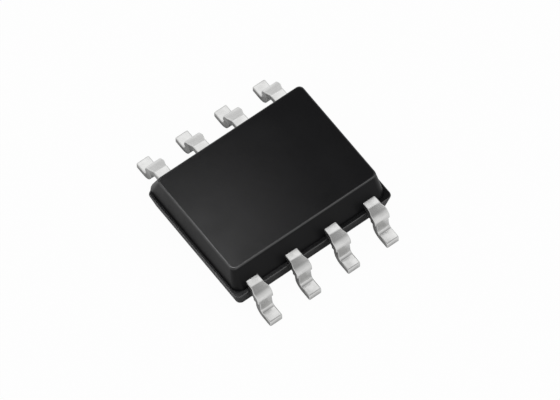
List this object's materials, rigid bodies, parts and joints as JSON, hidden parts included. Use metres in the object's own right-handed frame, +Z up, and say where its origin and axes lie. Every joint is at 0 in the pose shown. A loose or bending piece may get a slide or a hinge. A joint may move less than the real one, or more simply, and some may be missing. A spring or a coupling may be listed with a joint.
{
  "type": "soic chip",
  "caption": "Small-outline integrated circuit in a black moulded body with two rows of gull-wing leads, to be soldered flat on a circuit board.",
  "frame": {"origin": "middle of the chip at the height of the board, on the plane of the feet's undersides", "axes": "+X along the lead rows, from lead 1 to lead 4; +Y across the chip, from the row of leads 1 to 4 to the other row; +Z up, away from the board"},
  "size_m": [0.0052, 0.006, 0.0015],
  "materials": {
    "mould_epoxy": "black moulded epoxy, fine even texture with a soft sheen",
    "tin_plating": "matte tin plating, satin grey",
    "bare_copper_alloy": "bare copper alloy sheet",
    "silver_epoxy": "silver-filled die attach, dull",
    "silicon": "polished silicon, dark blue-grey",
    "gold_wire": "drawn gold bond wire"
  },
  "bodies": {
    "root": {"mould_body": "mould_epoxy", "die_pad": "bare_copper_alloy", "die_attach": "silver_epoxy", "die": "silicon", "lead_1": "tin_plating", "lead_2": "tin_plating", "lead_3": "tin_plating", "lead_4": "tin_plating", "lead_5": "tin_plating", "lead_6": "tin_plating", "lead_7": "tin_plating", "lead_8": "tin_plating", "bond_wire_1": "gold_wire", "bond_wire_2": "gold_wire", "bond_wire_3": "gold_wire", "bond_wire_4": "gold_wire", "bond_wire_5": "gold_wire", "bond_wire_6": "gold_wire", "bond_wire_7": "gold_wire", "bond_wire_8": "gold_wire"}
  },
  "joints": []
}
